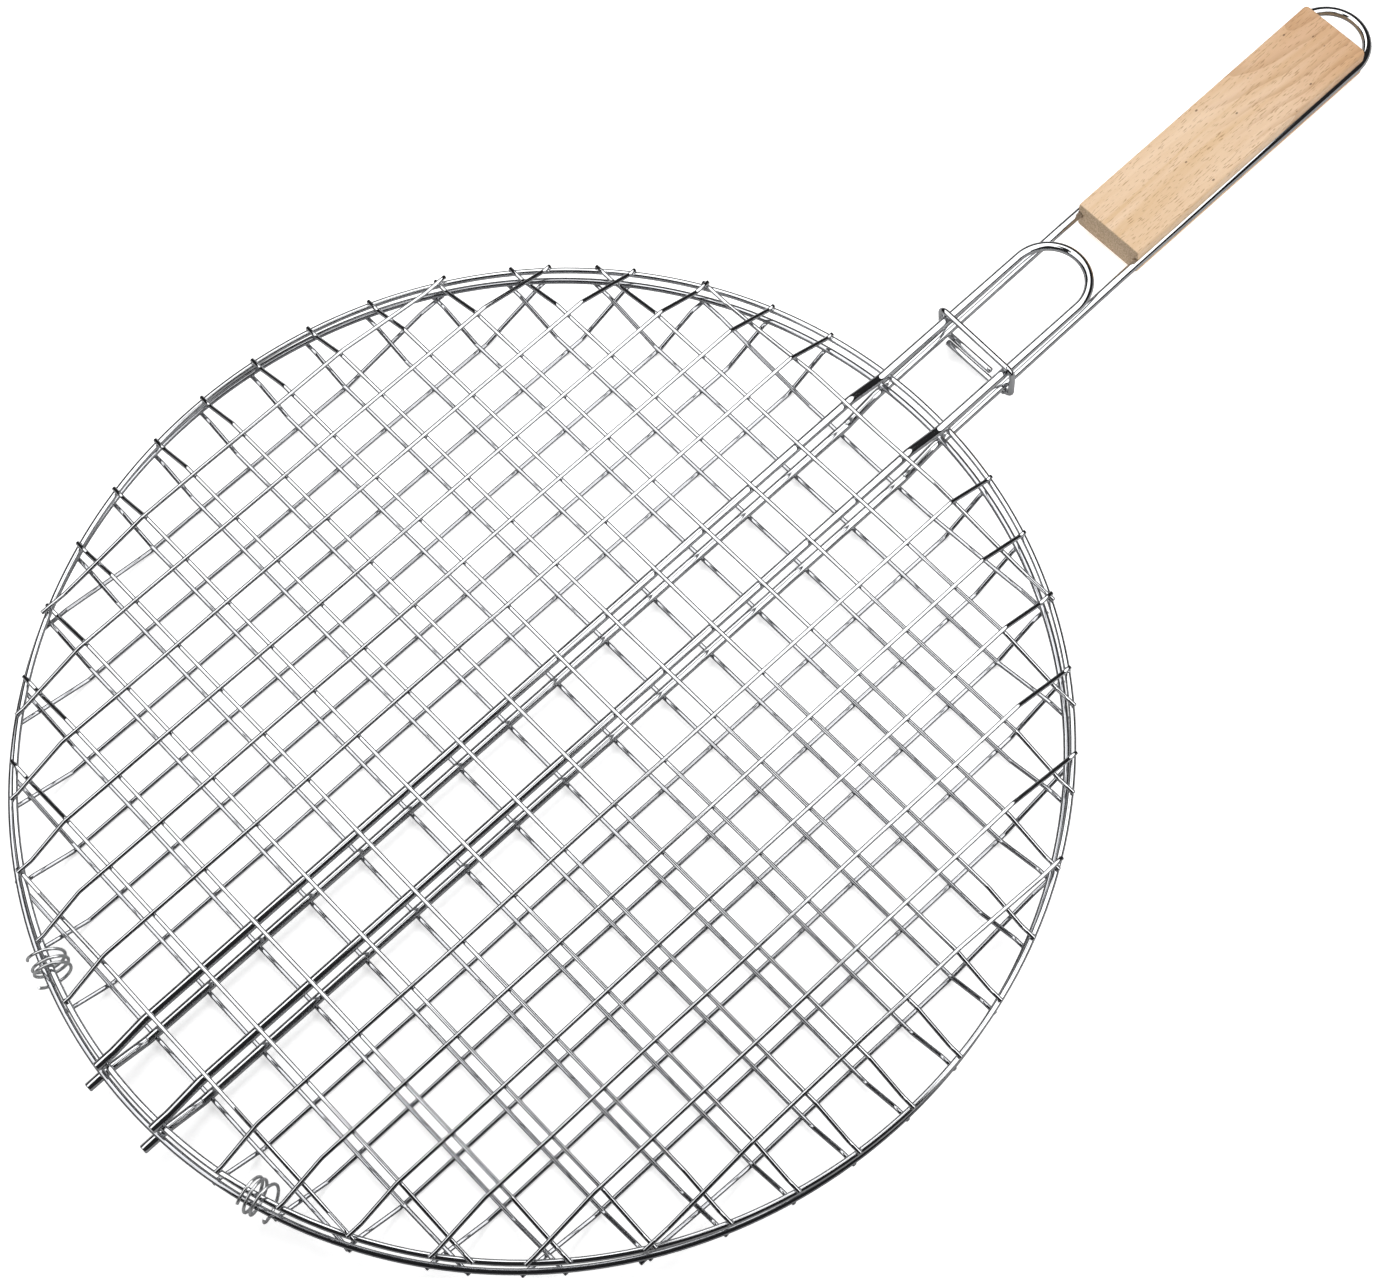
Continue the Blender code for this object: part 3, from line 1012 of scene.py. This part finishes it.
@dataclass
class LockingRing:
    """Ring of wire that slides over both frames, its two ends side by side below."""

    middle_z: float
    radius: float = 1.0 * MM
    corner: float = 2.6 * MM
    apart: float = 1.15 * MM
    front_end_y: float = -5.5 * MM
    back_end_y: float = 11.5 * MM

    def path(self) -> np.ndarray:
        """The ring's centre line.

        A rounded rectangle across the rods, whose place along X shifts evenly from one side
        to the other on the way round, so that its ends pass each other below.

        Returns:
            (n, 3) points.
        """
        low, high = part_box("locking_ring")
        ring_x = (low.x + high.x) / 2
        width, height = high.y - self.radius - self.corner, (high.z - low.z) / 2
        height -= self.radius + self.corner
        quarter = np.linspace(0.0, math.pi / 2, 10)
        start = np.array([-math.pi / 2, 0.0, math.pi / 2, math.pi])[:, None]
        turn = (start + quarter).ravel()
        centre_y = np.repeat([width, width, -width, -width], len(quarter))
        centre_z = np.repeat([-height, height, height, -height], len(quarter))
        y = centre_y + self.corner * np.cos(turn)
        z = centre_z + self.corner * np.sin(turn)
        y = np.concatenate([[self.front_end_y], y, [self.back_end_y]])
        z = np.concatenate([[z[0]], z, [z[-1]]])
        share = walked(np.stack([y, z], axis=1))
        lead = self.apart * (1 - 2 * share / share[-1])
        lead[:2], lead[-2:] = self.apart, -self.apart
        outline = np.stack([ring_x + lead, y, self.middle_z + z], axis=1)
        return respaced(outline, 1.5 * MM)

    def build(self, material: Material) -> None:
        """Builds the ring.

        Args:
            material: the plated rod.
        """
        ring = tube("locking_ring_plated", self.path(), self.radius, (1.0, 0.0, 0.0), 18)
        finish_piece(ring, material, ("locking_ring",), Body.RING)


@dataclass
class HingeCoil:
    """Loose coil of fine wire wound round both rims, which lets the lid turn."""

    node: str
    middle_z: float
    seed: int
    wire_radius: float = 0.5 * MM
    length: float = 9.2 * MM
    turns: float = 3.0
    points_in_turn: int = 30
    crowding: float = 0.10
    start_angle: float = 0.5  # for each step of the seed, in radians
    swell: float = 0.05
    swell_waves: float = 1.05
    inward: float = 1.5 * MM  # how far the loose coil hangs inwards of the rims
    blend_reach: float = 2.2 * MM

    def path(self) -> tuple[np.ndarray, np.ndarray]:
        """The coil's centre line.

        A helix about the rims' tangent, centre + along T + r cos(a) N + r sin(a) Z, with the
        pitch crowded on one side and the radius swelling a little from turn to turn.

        Returns:
            (n, 3) points, and the axis T.
        """
        low, high = (np.array(corner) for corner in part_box(self.node))
        upper, lower = (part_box(f"{half.prefix}_rim") for half in Half)
        rim_x = sum(corner.x for corner in (*upper, *lower)) / 4
        centre = (low + high) / 2
        centre[2] = self.middle_z
        outward = unit(np.array([centre[0] - rim_x, centre[1], 0.0]))
        centre = centre - self.inward * outward
        axis = np.array([-outward[1], outward[0], 0.0])
        coil_radius = (high[2] - low[2]) / 2 - self.wire_radius
        reach = abs((high - low) @ np.abs(outward)) / 2
        share = np.linspace(0.0, 1.0, int(self.turns * self.points_in_turn) + 1)
        crowd = self.crowding * np.sin(2 * math.pi * share + self.seed)
        along = self.length * (share + (crowd - crowd[0]) - 0.5)
        angle = 2 * math.pi * self.turns * share + self.start_angle * self.seed
        wave = np.abs(np.sin(2 * math.pi * self.swell_waves * share + self.seed))
        radius = min(coil_radius, reach) * (1 - self.swell * wave)
        out, up = radius * np.cos(angle), radius * np.sin(angle)
        path = centre + np.outer(along, axis) + np.outer(out, outward)
        return path + np.outer(up, [0.0, 0.0, 1.0]), axis

    def build(self, material: Material) -> None:
        """Builds the coil over the space between the rims, riding on neither half.

        Args:
            material: the spring wire.
        """
        path, axis = self.path()
        coil = tube(f"{self.node}_spring", path, self.wire_radius, tuple(axis), 12)
        finish_piece(coil, material, (self.node,))
        heart = Vector(path.mean(axis=0))
        heart.z = self.middle_z
        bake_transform(coil)


@dataclass
class Grip:
    """Beech block between the lower frame's rods, which lie in grooves along its sides."""

    edge: float = 1.1 * MM
    end_edge: float = 0.45 * MM
    corner: float = 1.2 * MM
    groove: float = 1.7 * MM
    rod_spread: float = 12.8 * MM
    corner_from: float = 0.8  # share of the half width past which the corners round
    end_grain_share: float = 0.55  # share of the end edge that shows end grain

    def outline(self, half_width: float, half_height: float) -> tuple[np.ndarray, np.ndarray]:
        """Section of the block, looking along the handle.

        A rectangle with quarter-circle edges, whose two sides are cut by the groove's circle
        round each rod.

        Args:
            half_width: half the block's width.
            half_height: half its thickness.

        Returns:
            (n, 2) points going round from the middle of the top towards -Y, and their
            outward directions.
        """
        edge, groove = self.edge, self.groove
        bite = math.acos((half_width - self.rod_spread) / groove)
        top = np.linspace(0.0, 1.0, 12)[:, None] * [half_width - edge, 0.0] + [0.0, half_height]
        arc = np.linspace(math.pi / 2, 0.0, 8)
        round_arc = np.stack([np.cos(arc), np.sin(arc)], axis=1)
        rounded = round_arc * edge + [half_width - edge, half_height - edge]
        side = np.linspace(half_height - edge, groove * math.sin(bite), 6)[1:-1]
        side = np.stack([np.full(len(side), half_width), side], axis=1)
        cut = np.linspace(bite, 2 * math.pi - bite, 17)
        round_cut = np.stack([np.cos(cut), np.sin(cut)], axis=1)
        hollow = round_cut * groove + [self.rod_spread, 0.0]
        quarter = np.concatenate([top[:-1], rounded, side])
        outward = np.concatenate(
            [np.tile([0.0, 1.0], (11, 1)), round_arc, np.tile([1.0, 0.0], (len(side), 1))]
        )
        flip = np.array([1.0, -1.0])
        right = np.concatenate([quarter, hollow, quarter[::-1] * flip])
        right_out = np.concatenate([outward, -round_cut, outward[::-1] * flip])
        points = np.concatenate([right, right[::-1][1:-1] * [-1.0, 1.0]])
        return points, np.concatenate([right_out, right_out[::-1][1:-1] * [-1.0, 1.0]])

    def surface(self) -> tuple[np.ndarray, int, np.ndarray]:
        """Carries the section along the handle.

        Within end_edge of each end the section is pushed in along its outward directions by
        e - sqrt(e^2 - d^2), and at the loop's end its width also follows the quarter circle
        of the corners.

        Returns:
            Points, the number of points in one section, and how much each is end grain.
        """
        low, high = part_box("wooden_handle")
        half_width, half_height = (high.y - low.y) / 2, (high.z - low.z) / 2
        section, outward = self.outline(half_width, half_height)
        ease = 1 - np.cos(np.linspace(0.0, math.pi / 2, 7))
        near = ease * self.end_edge
        far = (1 - np.cos(np.linspace(0.0, math.pi / 2, 12)))[::-1] * self.corner
        body = np.linspace(self.corner, high.x - low.x - self.corner, 60)
        x = np.unique(np.round(np.concatenate([near, body, high.x - low.x - far]), 8))
        to_end = np.minimum(x, high.x - low.x - x)
        depth = np.clip(self.end_edge - to_end, 0.0, None)
        inset = self.end_edge - np.sqrt(np.maximum(self.end_edge**2 - depth**2, 0.0))
        depth = np.clip(self.corner - (high.x - low.x - x), 0.0, None)
        narrow = self.corner - np.sqrt(np.maximum(self.corner**2 - depth**2, 0.0))
        flat = section[None] - inset[:, None, None] * outward[None]
        at_side = np.abs(flat[..., 0]) > self.corner_from * half_width
        squeeze = 1 - narrow[:, None] / half_width * at_side
        y, z = flat[..., 0] * squeeze, flat[..., 1]
        place = np.broadcast_to((low.x + x)[:, None], y.shape)
        centre_z = (low.z + high.z) / 2
        points = np.stack([place, -y, centre_z + z], axis=-1).reshape(-1, 3)
        cut = np.clip(1 - to_end / (self.end_grain_share * self.end_edge), 0.0, 1.0)
        return points, len(section), np.repeat(cut, len(section))

    def build(self, finish: OiledBeech) -> None:
        """Builds the grip.

        Args:
            finish: the wood.
        """
        low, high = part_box("wooden_handle")
        points, sides, cut = self.surface()
        quads = grid_faces(len(points) // sides, sides)
        ring = np.arange(sides)
        # The end faces get their own points, so that end grain stops at the edge.
        ends = np.concatenate([points[:sides], points[-sides:]])
        faces = quads.tolist()
        faces += [(ring[::-1] + len(points)).tolist(), (ring + len(points) + sides).tolist()]
        smooth = np.append(np.ones(len(quads)), [0, 0])
        grip = new_object("beech_grip", np.concatenate([points, ends]), faces, smooth)
        store(grip, "end_grain", np.append(cut, np.ones(2 * sides)))
        weld = grip.modifiers.new("closed_ends", "WELD")
        weld.merge_threshold = 1e-6
        middle = tuple(float(value) for value in (low + high) / 2)
        wood = finish.material(middle)
        finish_piece(grip, wood, ("wooden_handle",), Body.BASE)


# ---------------------------------------------------------------------------------------
# Studio
# ---------------------------------------------------------------------------------------


@dataclass(frozen=True)
class SoftPanel:
    """Flat soft light: its middle, size, the point that it faces, and its brightness."""

    name: str
    centre: tuple[float, float, float]
    size: tuple[float, float]
    aim: tuple[float, float, float]
    radiance: float

    def build(self) -> None:
        """Adds the panel. A flat light sends its power over its area times pi."""
        light = bpy.data.lights.new(self.name, "AREA")
        light.shape = "RECTANGLE"
        light.size, light.size_y = self.size
        light.energy = self.radiance * math.pi * self.size[0] * self.size[1]
        piece = bpy.data.objects.new(self.name, light)
        bpy.context.collection.objects.link(piece)
        piece.location = self.centre
        away = Vector(self.aim) - Vector(self.centre)
        piece.rotation_euler = away.to_track_quat("-Z", "Y").to_euler()
        piece.visible_camera = False


@dataclass
class Studio:
    """White floor, soft panels overhead and beside, and the camera."""

    floor_size: float = 8.0
    eye: tuple[float, float, float] = (-0.26213, -0.33496, 0.91737)
    aim: tuple[float, float, float] = (-0.04250, -0.00783, 0.0112)
    roll: float = -9.944
    lens: float = 85.413
    sensor: float = 36.0
    dim: str = "#2B2B2C"
    pale: str = "#CECECE"
    panel_z: float = 0.45
    glow: float = 2.35

    def overhead(self, name: str, x: tuple, y: tuple, share: float = 1.0) -> SoftPanel:
        """Returns a level panel over a span of X and Y."""
        middle = ((x[0] + x[1]) / 2, (y[0] + y[1]) / 2)
        size = (x[1] - x[0], y[1] - y[0])
        away = (*middle, 0.0)
        return SoftPanel(name, (*middle, self.panel_z), size, away, share * self.glow)

    def panels(self) -> list[SoftPanel]:
        """Returns the soft panels: a bright ceiling with a dark gap on the camera's side."""
        return [
            self.overhead("panel_back", (-0.30, 0.12), (0.101, 0.44)),
            self.overhead("panel_back_left", (-1.0, -0.30), (0.05, 0.50), 0.75),
            self.overhead("panel_right", (0.12, 0.425), (-1.1, 0.60)),
            self.overhead("panel_right_inner", (0.014, 0.12), (-0.50, -0.01)),
            self.overhead("panel_strip", (-0.14, 0.014), (-0.13, -0.025)),
        ]

    def build(self) -> None:
        """Adds the floor, the lights, the surroundings and the camera."""
        reach = self.floor_size / 2
        corners = np.array([[-1, -1, 0], [1, -1, 0], [1, 1, 0], [-1, 1, 0]]) * reach
        floor = new_object("studio_floor", corners, [[0, 1, 2, 3]], np.zeros(1))
        floor.data.materials.append(LitFloor().material())
        for panel in self.panels():
            panel.build()
        scene = bpy.context.scene
        world = bpy.data.worlds.new("dim_studio")
        world.use_nodes = True
        tree = world.node_tree
        seen = add_node(tree, "LightPath").outputs["Is Camera Ray"]
        links = {"Factor": seen, 6: linear(self.dim), 7: linear(self.pale)}
        tone = add_node(tree, "Mix", {"data_type": "RGBA"}, links).outputs[2]
        tree.links.new(tone, tree.nodes["Background"].inputs["Color"])
        scene.world = world
        scene.view_settings.view_transform = "Standard"
        camera_data = bpy.data.cameras.new("camera")
        camera_data.lens, camera_data.sensor_width = self.lens, self.sensor
        camera_data.clip_start = 0.01
        camera = bpy.data.objects.new("camera", camera_data)
        bpy.context.collection.objects.link(camera)
        camera.location = self.eye
        away = Vector(self.aim) - Vector(self.eye)
        turn = Quaternion((0.0, 0.0, 1.0), math.radians(self.roll))
        camera.rotation_euler = (away.to_track_quat("-Z", "Y") @ turn).to_euler()
        scene.camera = camera


def main() -> None:
    """Builds the whole scene."""
    logging.basicConfig(level=logging.INFO, format="%(name)s: %(message)s")
    middle_z = (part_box("lower_rim")[0].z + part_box("upper_rim")[1].z) / 2
    grid_wires = {
        Half.UPPER: PlatedWire("grid_wire_bright_plated").material(),
        # A darker copy of the same plated wire: its greyer colours are painted shade, which sets
        # the lower grid apart under the bright upper one.
        Half.LOWER: PlatedWire(
            "grid_wire_plated_painted_shade", "#BBBCBF", "#A6A7AA", 0.06, 0.15
        ).material(),
    }
    rod_wire = PlatedWire("frame_rod_bright_plated", roughness=0.04, cloud_mm=22.0).material()
    spring_wire = PlatedWire(
        "spring_wire_hard_drawn", "#E6E7E8", "#D0D1D2", 0.24, 0.36, draw_line_mm=0.15
    ).material()
    for half in Half:
        WireGrid(half, middle_z).build(grid_wires[half])
        FrameRod(half, middle_z).build(rod_wire)
    LockingRing(middle_z).build(rod_wire)
    for seed, node in enumerate(("hinge_coil_left", "hinge_coil_right")):
        HingeCoil(node, middle_z, seed).build(spring_wire)
    Grip().build(OiledBeech())
    Studio().build()


if __name__ == "__main__":
    main()
